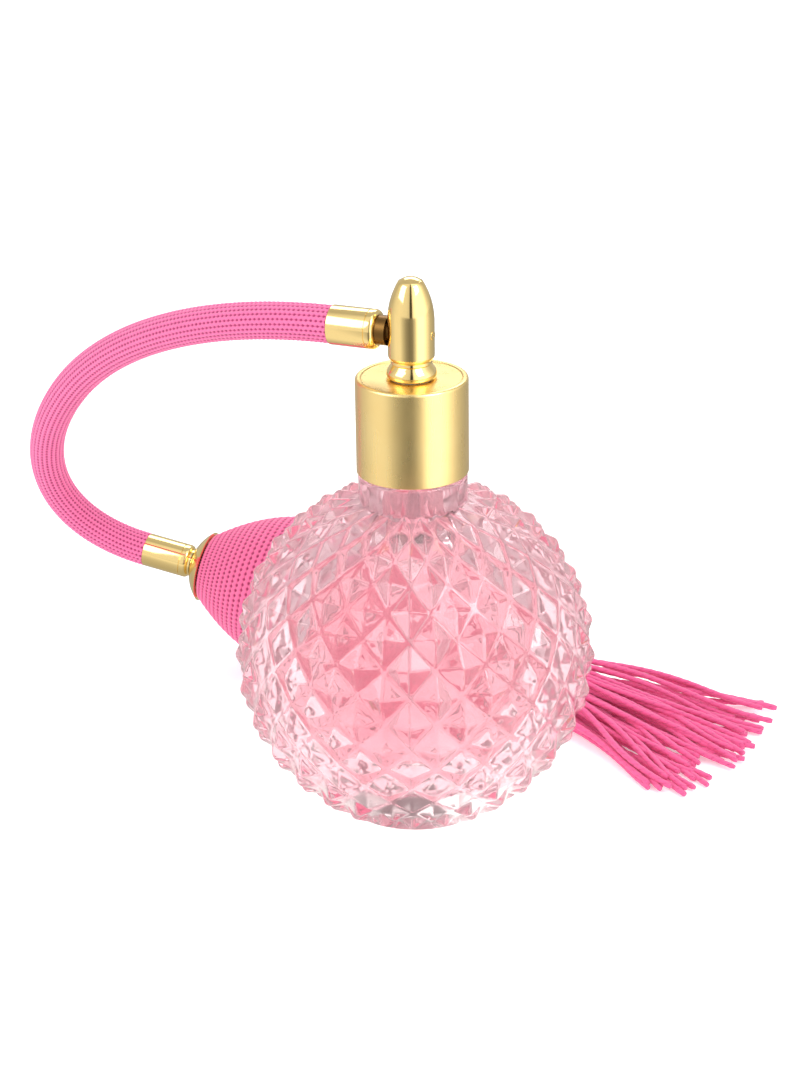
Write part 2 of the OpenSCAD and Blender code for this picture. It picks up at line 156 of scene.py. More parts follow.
def make_gold(name, low, high, first=(0.97, 0.72, 0.30), second=(0.99, 0.76, 0.34)):
    """Gold plate with faint wipe marks; its roughness wanders from low to high."""
    material, tree, shader = new_material(name)
    shader.inputs["Metallic"].default_value = 1.0
    tint = ramp(tree, noise(tree, 90), [(0.3, first), (0.7, second)])
    tree.links.new(tint, shader.inputs["Base Color"])
    wipe = noise(tree, 420, stretch=(1, 1, 0.25))
    tree.links.new(spread(tree, wipe, low, high), shader.inputs["Roughness"])
    bump(tree, shader, noise(tree, 2600), 0.05, 0.00002)
    return material


def make_glass():
    """Pressed glass with a pale pink tint, a little milky, and a fire-polished skin."""
    material, tree, shader = new_material("pink_glass")
    shader.inputs["Transmission Weight"].default_value = 0.88
    shader.inputs["IOR"].default_value = 1.45
    tint = ramp(tree, noise(tree, 60), [(0.3, (0.875, 0.54, 0.59)), (0.7, (0.90, 0.66, 0.70))])
    tree.links.new(tint, shader.inputs["Base Color"])
    tree.links.new(spread(tree, noise(tree, 300), 0.01, 0.04), shader.inputs["Roughness"])
    bump(tree, shader, noise(tree, 230, detail=1.5), 0.30, 0.0005)
    return material


def make_yarn(name, bright, shade_colour, fuzz_scale):
    """Knitted or twisted yarn: the deeper a point lies, the darker it is. This darkening is painted shade in
    the hollows between stitches and plies; a little noise varies the tone at random.
    """
    material, tree, shader = new_material(name)
    shader.inputs["Sheen Weight"].default_value = 0.25
    shader.inputs["Sheen Roughness"].default_value = 0.5
    shader.inputs["Specular IOR Level"].default_value = 0.25
    # painted shade: yarn_height darkens the colour towards the hollows of the yarn
    depth = add_node(tree, "ShaderNodeAttribute", attribute_name="yarn_height")
    mix = add_node(tree, "ShaderNodeMath", operation="MULTIPLY_ADD")
    tree.links.new(noise(tree, fuzz_scale, detail=2.0), mix.inputs[0])
    mix.inputs[1].default_value = 0.3
    tree.links.new(depth.outputs["Fac"], mix.inputs[2])
    tint = ramp(tree, mix.outputs[0], [(0.15, shade_colour), (0.80, bright), (1.0, bright)])
    tree.links.new(tint, shader.inputs["Base Color"])
    tree.links.new(spread(tree, noise(tree, fuzz_scale), 0.62, 0.8), shader.inputs["Roughness"])
    bump(tree, shader, noise(tree, fuzz_scale * 2), 0.35, 0.00008)
    return material


def make_plain(name, first, second, rough, scale=180, coat=0.0):
    """A moulded or ground surface whose tone wanders between two colours, and its shader."""
    material, tree, shader = new_material(name)
    tint = ramp(tree, noise(tree, scale), [(0.3, first), (0.7, second)])
    tree.links.new(tint, shader.inputs["Base Color"])
    wander = spread(tree, noise(tree, scale * 3), rough - 0.05, rough + 0.05)
    tree.links.new(wander, shader.inputs["Roughness"])
    shader.inputs["Coat Weight"].default_value = coat
    return material, shader


GOLD = make_gold("polished_gold", 0.08, 0.13)
SATIN = make_gold("satin_gold", 0.26, 0.32)
# painted shade: dark gold for the hose nipple, which sits in the shadowed gap between the front ferrule and
# the head
PAINTED_SHADE_GOLD = make_gold("painted_shade_gold", 0.3, 0.4, (0.16, 0.08, 0.02), (0.24, 0.13, 0.04))
GLASS = make_glass()
KNIT = make_yarn("hot_pink_knit", (0.84, 0.17, 0.38), (0.34, 0.015, 0.10), 1500)
CROCHET = make_yarn("hot_pink_crochet", (0.86, 0.145, 0.33), (0.30, 0.012, 0.08), 1300)
STRAND = make_yarn("hot_pink_strand", (0.81, 0.115, 0.31), (0.34, 0.013, 0.095), 1200)
RUBBER = make_plain("black_rubber", (0.012, 0.011, 0.012), (0.022, 0.02, 0.021), 0.55)[0]
SEAL = make_plain("white_seal", (0.78, 0.78, 0.76), (0.84, 0.84, 0.82), 0.5)[0]
PLASTIC = make_plain("white_plastic", (0.80, 0.80, 0.78), (0.86, 0.86, 0.84), 0.35, coat=0.2)[0]


def make_steel():
    material, shader = make_plain("polished_steel", (0.62, 0.62, 0.64), (0.70, 0.70, 0.72), 0.16)
    shader.inputs["Metallic"].default_value = 1.0
    return material


def make_tube():
    material, shader = make_plain("clear_tube", (0.93, 0.94, 0.94), (0.97, 0.97, 0.97), 0.12)
    shader.inputs["Transmission Weight"].default_value = 0.9
    shader.inputs["IOR"].default_value = 1.45
    return material


STEEL = make_steel()
TUBE = make_tube()

# ---- mesh helpers ----


def link_mesh(name, vertices, faces, material, smooth=True, heights=None):
    mesh = bpy.data.meshes.new(name)
    mesh.from_pydata([tuple(v) for v in vertices], [], [tuple(f) for f in faces])
    mesh.validate()
    if heights is not None:
        layer = mesh.attributes.new("yarn_height", "FLOAT", "POINT")
        layer.data.foreach_set("value", np.asarray(heights, dtype=np.float32))
    if smooth:
        mesh.shade_smooth()
    mesh.materials.append(material)
    obj = bpy.data.objects.new(name, mesh)
    bpy.context.scene.collection.objects.link(obj)
    return obj


def place_mesh(obj, matrix):
    """Moves the vertices, so that the object itself stays at the origin."""
    obj.data.transform(matrix)


def arc(r0, z0, radius, start, end, count):
    """Points of a round corner in a lathe outline, angles in degrees."""
    turn = [math.radians(start + (end - start) * i / count) for i in range(count + 1)]
    return [(r0 + radius * math.cos(a), z0 + radius * math.sin(a)) for a in turn]


def lathe(name, outline, material, matrix=None, segments=144, sharp=35, closed=True):
    """Turns an outline of (radius, height) points about Z."""
    vertices, faces = [], []
    rings = len(outline)
    for radius, height in outline:
        for k in range(segments):
            a = 2 * math.pi * k / segments
            vertices.append((radius * math.cos(a), radius * math.sin(a), height))
    last = rings if closed else rings - 1
    for i in range(last):
        j = (i + 1) % rings
        for k in range(segments):
            m = (k + 1) % segments
            faces.append((i * segments + k, i * segments + m, j * segments + m, j * segments + k))
    obj = link_mesh(name, vertices, faces, material)
    tidy_mesh(obj, sharp)
    if matrix is not None:
        place_mesh(obj, matrix)
    return obj


def tidy_mesh(obj, sharp):
    bm = bmesh.new()
    bm.from_mesh(obj.data)
    bmesh.ops.remove_doubles(bm, verts=bm.verts, dist=1e-7)
    bmesh.ops.recalc_face_normals(bm, faces=bm.faces)
    bm.to_mesh(obj.data)
    bm.free()
    obj.data.shade_smooth()
    obj.data.set_sharp_from_angle(angle=math.radians(sharp))


def tidy_normals(obj):
    bm = bmesh.new()
    bm.from_mesh(obj.data)
    bmesh.ops.recalc_face_normals(bm, faces=bm.faces)
    bm.to_mesh(obj.data)
    bm.free()


def smooth_route(points, step):
    """A rounded line through the points (Catmull-Rom), evenly spaced."""
    p = np.array(points, float)
    ends = np.vstack([2 * p[0] - p[1], p, 2 * p[-1] - p[-2]])
    dense = []
    for i in range(1, len(ends) - 2):
        a, b, c, d = ends[i - 1], ends[i], ends[i + 1], ends[i + 2]
        for t in np.linspace(0, 1, 24, endpoint=False):
            dense.append(0.5 * (2 * b + (c - a) * t + (2 * a - 5 * b + 4 * c - d) * t**2
                                + (3 * b - a - 3 * c + d) * t**3))
    dense.append(ends[-2])
    return even_line(dense, step)


def even_line(points, step):
    """The same line with evenly spaced points, and its length."""
    dense = np.array([tuple(p) for p in points])
    run = np.concatenate([[0], np.cumsum(np.linalg.norm(np.diff(dense, axis=0), axis=1))])
    count = max(2, int(round(run[-1] / step)))
    at = np.linspace(0, run[-1], count + 1)
    line = np.stack([np.interp(at, run, dense[:, k]) for k in range(3)], axis=1)
    return line, run[-1]


def route_frames(line, reference):
    """The direction along a line, and two directions across it."""
    along = np.gradient(line, axis=0)
    along /= np.linalg.norm(along, axis=1)[:, None]
    across = np.cross(along, np.array(reference, float))
    across /= np.linalg.norm(across, axis=1)[:, None]
    return along, across, np.cross(across, along)


def tube_faces(rings, sides):
    i, k = np.meshgrid(np.arange(rings - 1), np.arange(sides), indexing="ij")
    a = i * sides + k
    b = i * sides + (k + 1) % sides
    return np.stack([a, b, b + sides, a + sides], axis=-1).reshape(-1, 4)


def ring_ways(line, sides, reference):
    """The directions from a line to the points of a ring round each of its points."""
    _, across, up = route_frames(line, reference)
    turn = 2 * np.pi * np.arange(sides) / sides
    return (np.cos(turn)[None, :, None] * across[:, None, :]
            + np.sin(turn)[None, :, None] * up[:, None, :])


def tube(name, line, radii, material, heights=None, reference=(0, 1, 0)):
    """A capped tube along a line; radii is an array (rings, sides)."""
    rings, sides = radii.shape
    ring = ring_ways(line, sides, reference)
    vertices = (line[:, None, :] + radii[:, :, None] * ring).reshape(-1, 3)
    faces = [tuple(f) for f in tube_faces(rings, sides)]
    last = (rings - 1) * sides
    faces.append(tuple(range(sides - 1, -1, -1)))
    faces.append(tuple(last + k for k in range(sides)))
    flat = None if heights is None else heights.reshape(-1)
    return link_mesh(name, vertices, faces, material, heights=flat)


def knit_height(column, course):
    """Height from 0 to 1 of a knitted face: columns of V stitches with a small hole
    beside each one. column counts stitch columns and course counts stitches along."""
    u = column % 1.0
    edge = np.minimum(u, 1 - u)
    ridge = 0.5 + 0.5 * np.clip(np.sin(np.pi * u), 0, 1) ** 0.7
    slant = course - 0.45 * np.abs(2 * u - 1)
    loop = 0.5 + 0.5 * np.cos(2 * np.pi * slant)
    side = course + 0.5 * (np.floor(column + 0.5) % 2)
    hole = np.exp(-((edge / 0.26) ** 2)) * (0.5 - 0.5 * np.cos(2 * np.pi * side)) ** 1.5
    return np.clip(ridge * (0.8 + 0.2 * loop) - 0.95 * hole, 0, 1)


# ---- hose: the cord comes first ----
HOSE_R = 4.15 * MM
KNIT_DEPTH = 0.36 * MM
KNIT_PITCH = 1.1 * MM
HOSE_COLUMNS = 22
HOSE_TURN = math.radians(158)
HEAD_POINT = Vector((0, 0, 109.3)) * MM
HOSE_WAY = Euler((0, math.pi / 2, HOSE_TURN))
HOSE_FRAME = Matrix.Translation(HEAD_POINT) @ HOSE_WAY.to_matrix().to_4x4()
CUP_RIM = Vector((-51, 75, 24.4)) * MM
BULB_TURN = math.radians(-18)
BULB_DOWN = math.radians(10)
BULB_WAY = Euler((0, math.pi / 2 + BULB_DOWN, BULB_TURN))
BULB_FRAME = Matrix.Translation(CUP_RIM) @ BULB_WAY.to_matrix().to_4x4()
FRONT_START = 7.3 * MM
FRONT_L = 10.7 * MM
REAR_START = -4.1 * MM
REAR_L = 11.8 * MM
FRONT_MOUTH = HOSE_FRAME @ Vector((0, 0, FRONT_START + FRONT_L))
REAR_MOUTH = BULB_FRAME @ Vector((0, 0, REAR_START - REAR_L))
HOSE_MIDDLE = Vector((-79.9, 55.9, 77.8)) * MM
HOSE_MIDDLE_WAY = Vector((-0.441, 0.584, -0.681))


def curve_points(a, b, c, d, count=60):
    """Points along a smooth curve from a to d, drawn by the handles b and c."""
    at = [i / count for i in range(count + 1)]
    return [(1 - t) ** 3 * a + 3 * (1 - t) ** 2 * t * b + 3 * (1 - t) * t * t * c + t**3 * d
            for t in at]


def hose_line():
    """The hose's middle line, from one ferrule's mouth to the other's, in two curves."""
    out = HOSE_FRAME.to_3x3() @ Vector((0, 0, 1))
    into = BULB_FRAME.to_3x3() @ Vector((0, 0, 1))
    first = curve_points(FRONT_MOUTH, FRONT_MOUTH + 28.5 * MM * out,
                         HOSE_MIDDLE - 29.1 * MM * HOSE_MIDDLE_WAY, HOSE_MIDDLE)
    second = curve_points(HOSE_MIDDLE, HOSE_MIDDLE + 35.9 * MM * HOSE_MIDDLE_WAY,
                          REAR_MOUTH - 24.2 * MM * into, REAR_MOUTH)
    return first + second[1:]


def bend_hose(obj):
    """Bakes the piece's placement into its mesh."""
    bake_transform(obj)


def make_inner_tube():
    """The air tube in the sleeve; its ends reach into both ferrules."""
    outer, inner, reach = 2.95 * MM, 2.25 * MM, 8 * MM
    out = HOSE_FRAME.to_3x3() @ Vector((0, 0, 1))
    into = BULB_FRAME.to_3x3() @ Vector((0, 0, 1))
    line, _ = even_line([FRONT_MOUTH - reach * out] + hose_line() + [REAR_MOUTH + reach * into], 1.6 * MM)
    count, sides = len(line), 24
    back_and_forth = np.vstack([line, line[::-1]])
    ring = ring_ways(line, sides, (0, 1, 0))
    radius = np.repeat([outer, inner], count)[:, None, None]
    vertices = back_and_forth[:, None, :] + radius * np.vstack([ring, ring[::-1]])
    faces = [tuple(f) for f in tube_faces(2 * count, sides)]
    last = (2 * count - 1) * sides
    faces += [(last + k, last + (k + 1) % sides, (k + 1) % sides, k) for k in range(sides)]
    obj = link_mesh("hose_air_tube", vertices.reshape(-1, 3), faces, RUBBER)
    tidy_mesh(obj, 40)
    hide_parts("hose_tube")
    bend_hose(obj)


def make_hose():
    per_course, per_column = ((6, 6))
    line, length = even_line(hose_line(), KNIT_PITCH / per_course)
    sides = HOSE_COLUMNS * per_column
    column = np.arange(sides)[None, :] / per_column
    course = np.arange(len(line))[:, None] / per_course
    heights = knit_height(column + 0 * course, course + 0 * column)
    # painted shade: the knit heights also darken the stitch holes and the gaps between columns through the
    # yarn material
    sleeve = tube("hose_sleeve_knit", line, HOSE_R - KNIT_DEPTH * (1 - heights), KNIT, heights)
    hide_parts("hose_sleeve")
    bend_hose(sleeve)


make_hose()
make_inner_tube()

# ---- squeeze bulb, distances along its axis from the cup's rim ----
BULB_R = 19 * MM
BULB_WIDE = 27 * MM
BULB_NEAR = 35.2 * MM
BULB_FAR = 31.5 * MM


def bulb_radius(s):
    """Outer radius of the cover at a distance s from the cup's rim."""
    near = BULB_R * (1 - ((BULB_WIDE - s) / BULB_NEAR) ** 2)
    far = BULB_R * np.sqrt(np.clip(1 - ((s - BULB_WIDE) / BULB_FAR) ** 2, 0, 1))
    return np.where(s < BULB_WIDE, near, far)


def make_cover():
    """The crocheted cover: rounds of stitches that run round the bulb."""
    start, end, thick = 0.25 * MM, 57.6 * MM, 0.9 * MM
    stitches, round_pitch, depth = 76, 1.65 * MM, 0.38 * MM
    fine = np.linspace(start, end, 1200)
    radius = bulb_radius(fine)
    run = np.concatenate([[0], np.cumsum(np.hypot(np.diff(fine), np.diff(radius)))])
    rounds = int(round(run[-1] / round_pitch))
    per_round, per_stitch = ((9, 6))
    at = np.linspace(0, run[-1], rounds * per_round + 1)
    s = np.interp(at, run, fine)
    r = bulb_radius(s)
    dr, ds = np.gradient(r), np.gradient(s)
    size = np.hypot(dr, ds)
    out_r, out_s = ds / size, -dr / size
    sides = stitches * per_stitch
    turn = np.arange(sides)[None, :] / per_stitch
    lap = np.arange(len(s))[:, None] / per_round
    heights = knit_height(lap + 0 * turn, turn + 0 * lap)
    sink = depth * (1 - heights)
    outer_r = r[:, None] - sink * out_r[:, None]
    outer_s = s[:, None] - sink * out_s[:, None]
    inner_r = np.repeat(np.maximum(r - thick * out_r, 3.6 * MM)[:, None], sides, axis=1)
    inner_s = np.repeat((s - thick * out_s)[:, None], sides, axis=1)
    all_r = np.vstack([outer_r, inner_r[::-1]])
    all_s = np.vstack([outer_s, inner_s[::-1]])
    angle = 2 * np.pi * np.arange(sides) / sides
    vertices = np.stack([all_r * np.cos(angle), all_r * np.sin(angle), all_s], axis=-1).reshape(-1, 3)
    rings = len(all_r)
    faces = [tuple(f[::-1]) for f in tube_faces(rings, sides)]
    last = (rings - 1) * sides
    faces += [(k, last + k, last + (k + 1) % sides, (k + 1) % sides) for k in range(sides)]
    # painted shade: the stitch hollows are darkened, and the inside of the cover is set darker still
    shade = np.vstack([heights, 0.3 * np.ones_like(inner_r)]).reshape(-1)
    cover = link_mesh("bulb_cover_crochet", vertices, faces, CROCHET, heights=shade)
    place_mesh(cover, BULB_FRAME)
    tidy_normals(cover)
    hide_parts("bulb_cover")
    press_bulb(cover)


def press_bulb(obj):
    """Gives the piece its own mesh and hangs it on the bulb's body."""
    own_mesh(obj)
    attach(obj, "bulb")


def make_bladder():
    """The rubber bulb under the cover, hung on the bulb just as the cover is."""
    gap, wall, start, end, hole = 1.3 * MM, 1.5 * MM, 2 * MM, 55.4 * MM, 2.8 * MM
    neck = start + 5 * MM
    outer = [(float(bulb_radius(s)) - gap, s) for s in np.linspace(start, end, 40)]
    inner = [(max(float(bulb_radius(s)) - gap - wall, hole + 0.2 * MM), s)
             for s in np.linspace(end - wall, neck, 40)]
    outline = [(hole, start)] + outer + [(hole, end), (hole, end - wall)] + inner + [(hole, neck)]
    obj = lathe("rubber_bladder", outline, RUBBER, BULB_FRAME, segments=72, sharp=50)
    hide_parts("bulb_bladder")
    press_bulb(obj)


make_cover()
make_bladder()

# ---- gold fittings, turned finely on the CAD's own sizes ----


def half_width(node):
    """The radius of a round upright CAD node."""
    low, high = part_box(node)
    return (high[0] - low[0]) / 2


def make_collar():
    low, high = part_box("collar_shell")
    r, z0, z1 = half_width("collar_shell"), low[2], high[2]
    plate, wall, roll, lip = 0.3 * MM, 0.5 * MM, 0.7 * MM, 0.25 * MM
    inner, hole = r - 1.0 * MM, 4.8 * MM
    outline = ([(r - wall, z0), (r - 0.15 * MM, z0)]
               + arc(r - 0.15 * MM, z0 + 0.15 * MM, 0.15 * MM, -90, 0, 3)
               + arc(r - roll, z1 - roll, roll, 0, 90, 12)
               + arc(inner, z1 - lip, lip, 90, 150, 4)
               + [(inner - 0.4 * MM, z1 - plate), (hole, z1 - plate),
                  (hole, z1 - plate - wall), (r - wall, z1 - plate - wall)])
    obj = lathe("collar_gold", outline, SATIN, segments=192)
    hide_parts("collar_shell")
    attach(obj, "collar")


def make_boss():
    low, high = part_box("swivel_boss")
    r, z0, z1 = half_width("swivel_boss"), low[2], high[2]
    bore = 3.2 * MM
    height = z1 - z0
    bulge = [(0.95, 0.0), (0.985, 0.06), (1.0, 0.2), (0.99, 0.36), (0.955, 0.53),
             (0.9, 0.68), (0.84, 0.82), (0.79, 0.93), (0.765, 1.0)]
    outline = [(bore, z0)] + [(r * w, z0 + height * h) for w, h in bulge] + [(bore, z1)]
    obj = lathe("swivel_bead_gold", outline, GOLD, sharp=60)
    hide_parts("swivel_boss")
    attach(obj, "head")


def make_head():
    """The bullet-shaped head, turned in one piece."""
    low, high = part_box("head_body")
    r, z0, z1 = half_width("head_body"), low[2], high[2]
    side_r, side_z, side_end, tip = 17.4 * MM, 112 * MM, 120.8 * MM, 3.9 * MM
    outline = [(0.0, z0), (4.1 * MM, z0), (4.45 * MM, z0 + 0.12 * MM)]
    outline += arc(r - 1.5 * MM, z0 + 1.9 * MM, 1.5 * MM, -55, 0, 8)
    for i in range(13):
        z = side_z + (side_end - side_z) * i / 12
        outline.append((r - side_r + math.sqrt(side_r**2 - (z - side_z) ** 2), z))
    outline += arc(0, z1 - tip, tip, 53, 90, 10)
    obj = lathe("head_gold", outline, GOLD, sharp=50, closed=False)
    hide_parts("head_body")
    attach(obj, "head")


def ferrule_outline(r, length, hole):
    bend, wall, line = 1.0 * MM, 0.5 * MM, 0.16 * MM
    return ([(hole, 0)] + arc(r - bend, bend, bend, -90, 0, 8)
            + [(r, 1.75 * MM), (r - line, 1.85 * MM), (r - line, 2.0 * MM), (r, 2.1 * MM)]
            + [(r, length - 0.2 * MM)] + arc(r - 0.2 * MM, length - 0.2 * MM, 0.2 * MM, 0, 90, 4)
            + [(r - wall, length), (r - wall, 0.8 * MM), (hole, 0.8 * MM)])


def make_ferrules():
    front = HOSE_FRAME @ Matrix.Translation((0, 0, FRONT_START))
    obj = lathe("front_ferrule_gold", ferrule_outline(4.3 * MM, FRONT_L, 2.2 * MM), GOLD, front)
    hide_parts("front_ferrule")
    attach(obj, "head")
    rear = BULB_FRAME @ Matrix.Translation((0, 0, REAR_START)) @ Matrix.Rotation(math.pi, 4, "X")
    obj = lathe("rear_ferrule_gold", ferrule_outline(4.1 * MM, REAR_L, 2.2 * MM), GOLD, rear)
    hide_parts("rear_ferrule")
    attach(obj, "bulb")


def make_cup():
    curve, thick, rim, hole = 11.5 * MM, 0.6 * MM, 8.7 * MM, 2.6 * MM
    centre = -4.1 * MM + 0.2 * MM + curve
    inner = curve - thick
    outline = arc(0, centre, curve, -90 + math.degrees(math.asin(hole / curve)),
                  -90 + math.degrees(math.asin(rim / curve)), 20)
    outline += arc(0, centre, inner, -90 + math.degrees(math.asin((rim - thick) / inner)),
                   -90 + math.degrees(math.asin(hole / inner)), 12)
    obj = lathe("bulb_cup_gold", outline, GOLD, BULB_FRAME, sharp=50)
    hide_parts("bulb_cup")
    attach(obj, "bulb")


make_collar()
make_boss()
make_head()
make_ferrules()
make_cup()

# ---- pressed glass bottle ----
TIP_R = 40 * MM
GROOVE_R = TIP_R - 2.4 * MM
COLUMNS = 42
FIRST_ROW, TOP_ROW, ROW_STEP = -63, 72, 9
COLUMN_TURN = -92.2
BALL_Z = 36 * MM
CAVITY_R = 31 * MM
NECK_BORE = 6.6 * MM
BASE_R = 17 * MM


def skin_point(i, j, rows):
    lat = math.radians(FIRST_ROW + i * ROW_STEP)
    lon = math.radians(COLUMN_TURN + j * 360 / COLUMNS)
    if i == 0:
        return (BASE_R * math.cos(lon), BASE_R * math.sin(lon), 0)
    groove = i == rows or (i + j) % 2 == 0
    r = GROOVE_R if groove else TIP_R
    across = r * math.cos(lat)
    return (across * math.cos(lon), across * math.sin(lon), BALL_Z + r * math.sin(lat))


def make_bottle():
    """Outer skin of diamonds, smooth neck and round hollow, as one closed glass wall."""
    rows = (TOP_ROW - FIRST_ROW) // ROW_STEP
    points = [skin_point(i, j, rows) for i in range(rows + 1) for j in range(COLUMNS)]
    faces = [tuple(reversed(range(COLUMNS)))]
    for i in range(rows):
        for j in range(COLUMNS):
            k = (j + 1) % COLUMNS
            a, b = i * COLUMNS + j, i * COLUMNS + k
            c, d = a + COLUMNS, b + COLUMNS
            if (i + j) % 2 == 0:
                faces += [(a, b, d), (a, d, c)]
            else:
                faces += [(a, b, c), (b, d, c)]
    bm = bmesh.new()
    vertices = [bm.verts.new(p) for p in points]
    for f in faces:
        bm.faces.new([vertices[n] for n in f])
    edges = [e for e in bm.edges if not e.is_boundary]
    bmesh.ops.bevel(bm, geom=edges, offset=0.65 * MM, segments=3, profile=0.5, affect="EDGES")
    rim = [v for v in bm.verts if v.is_boundary]
    ring = sorted(rim, key=lambda v: math.atan2(v.co.y, v.co.x))
    r, top = 11.8 * MM, 78.3 * MM
    neck_r, neck_top, lip, bevel = 9 * MM, 94 * MM, 1 * MM, 0.5 * MM
    outline = [(r - 0.05 * MM, ring[0].co.z + 0.5 * MM), (r, ring[0].co.z + 1.2 * MM)]
    outline += arc(r - lip, top - lip, lip, 0, 90, 6)
    outline += [(neck_r, top), (neck_r, neck_top - bevel), (neck_r - bevel, neck_top), (NECK_BORE, neck_top)]
    low = math.asin(NECK_BORE / CAVITY_R)
    for i in range(49):
        a = low + (math.pi - 0.02 - low) * i / 48
        outline.append((CAVITY_R * math.sin(a), BALL_Z + CAVITY_R * math.cos(a)))
    turn = [math.atan2(v.co.y, v.co.x) for v in ring]
    previous = ring
    for radius, height in outline:
        new = [bm.verts.new((radius * math.cos(a), radius * math.sin(a), height)) for a in turn]
        for n in range(len(new)):
            m = (n + 1) % len(new)
            bm.faces.new([previous[n], previous[m], new[m], new[n]])
        previous = new
    bm.faces.new(previous)
    bmesh.ops.recalc_face_normals(bm, faces=bm.faces)
    mesh = bpy.data.meshes.new("bottle_glass")
    bm.to_mesh(mesh)
    bm.free()
    mesh.shade_smooth()
    mesh.set_sharp_from_angle(angle=math.radians(50))
    mesh.materials.append(GLASS)
    obj = bpy.data.objects.new("bottle_glass", mesh)
    bpy.context.scene.collection.objects.link(obj)
    obj.visible_shadow = False
    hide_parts("bottle")
    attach(obj, "glass")


make_bottle()

# ---- tassel ----
STRANDS = 68
STRAND_R = 0.68 * MM
TASSEL_AT = Vector((14.3, 53.3, 9.5)) * MM
TASSEL_TURN = -32
TASSEL_L = 75 * MM
TWISTS_PER_M = 420
TASSEL_FRAME = (Matrix.Translation(TASSEL_AT)
                @ Euler((0, math.pi / 2 + math.radians(22), math.radians(TASSEL_TURN))).to_matrix().to_4x4())


def twisted(name, line, radius, turns_per_m, material, sides=12):
    """A two-ply twisted cord along a line."""
    steps = np.linalg.norm(np.diff(line, axis=0), axis=1)
    run = np.concatenate([[0], np.cumsum(steps)])
    angle = 2 * np.pi * np.arange(sides)[None, :] / sides
    wave = np.abs(np.sin(angle - 2 * np.pi * turns_per_m * run[:, None] / 2))
    # painted shade: the grooves between the two plies get a lower yarn_height, which the yarn material
    # darkens
    heights = 0.35 + 0.65 * wave
    radii = radius * (0.84 + 0.16 * wave)
    radii[0] *= 0.8
    radii[-1] *= 0.8
    reference = (0.0, 0.0, 1.0)
    return tube(name, line, radii, material, heights, reference)


def strand_line(dice, index):
    """One strand: it leaves the binding, sinks to the table and fans out in a soft wave."""
    share = 2 * (index + 0.5) / STRANDS - 1
    layer = dice.random()
    near = -20 + 25 * share + dice.uniform(-4, 4)
    far = -33.5 + 20 * share + dice.uniform(-7, 7)
    reach = TASSEL_L * dice.uniform(0.86, 0.985)
    wave, phase = dice.uniform(0.7, 2.4) * MM, dice.uniform(0, 6.28)
    start = TASSEL_FRAME @ Vector(((1 - 2 * layer) * 2.2 * MM, -share * 2.2 * MM, 4.5 * MM))
    points = []
    for i in range(11):
        t = i / 10
        d = 8 * MM + (reach - 8 * MM) * t
        turn = math.radians(near + (far - near) * t * t * (3 - 2 * t))
        out = Vector((math.cos(turn), math.sin(turn), 0))
        side = Vector((-out.y, out.x, 0))
        low = max(0.0, 5.0 * (1 - t / 0.4))
        high = 12.2 - 9.5 * t
        z = STRAND_R + 0.1 * MM + (low + layer * (high - low - 1.4)) * MM
        sway = wave * math.sin(phase + 8 * t) * (0.25 + 0.75 * t)
        centre = Vector((TASSEL_AT.x, TASSEL_AT.y, 0)) + out * d + side * sway
        points.append((centre.x, centre.y, z))
    return [tuple(start)] + points


def join(name, objects):
    """Joins pieces into the first, and renames it."""
    with bpy.context.temp_override(active_object=objects[0], selected_editable_objects=objects):
        bpy.ops.object.join()
    objects[0].name = name
    return objects[0]


def make_tassel():
    dice = random.Random(7)
    strands, step = [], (0.7 * MM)
    for index in range(STRANDS):
        line, _ = smooth_route(strand_line(dice, index), step)
        radius = STRAND_R * dice.uniform(0.92, 1.08)
        strands.append(twisted(f"strand_{index}", line, radius, TWISTS_PER_M, STRAND))
    fan = join("tassel_strand_fan", strands)
    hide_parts("tassel_strands")
    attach(fan, "tassel")

    wraps = []
    for index in range(4):
        s = 2.9 * MM + (index + 0.5) * 0.88 * MM
        turn = np.linspace(0, 2 * np.pi, 73)[:-1]
        ring = np.stack([3.5 * MM * np.cos(turn), 3.5 * MM * np.sin(turn), s + 0 * turn], axis=1)
        wraps.append(closed_cord(f"wrap_{index}", ring, 0.46 * MM, STRAND))
    binding = join("tassel_binding_wraps", wraps)
    place_mesh(binding, TASSEL_FRAME)
    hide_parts("tassel_binding")
    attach(binding, "tassel")

    outline, heights = [], []
    for i in range(61):
        a = math.radians(-90 + 133 * i / 60)
        outline.append((4.2 * MM * math.cos(a), 4.2 * MM * math.sin(a)))
    profile = [(max(r, 1e-5), z) for r, z in outline] + [(1e-5, 2.9 * MM)]
    head = lathe("tassel_head_cord", profile, STRAND, segments=120, closed=False)
    ribs = []
    for v in head.data.vertices:
        angle = math.atan2(v.co.y, v.co.x)
        rib = abs(math.sin(9 * angle))
        # painted shade: the grooves between the ribs are darkened through yarn_height
        heights.append(0.35 + 0.6 * rib)
        ribs.append(1 - 0.09 * (1 - rib) * min(1.0, math.hypot(v.co.x, v.co.y) / (2 * MM)))
    for v, scale in zip(head.data.vertices, ribs):
        v.co.x *= scale
        v.co.y *= scale
    layer = head.data.attributes.new("yarn_height", "FLOAT", "POINT")
    layer.data.foreach_set("value", heights)
    place_mesh(head, TASSEL_FRAME)
    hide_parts("tassel_head")
    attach(head, "tassel")


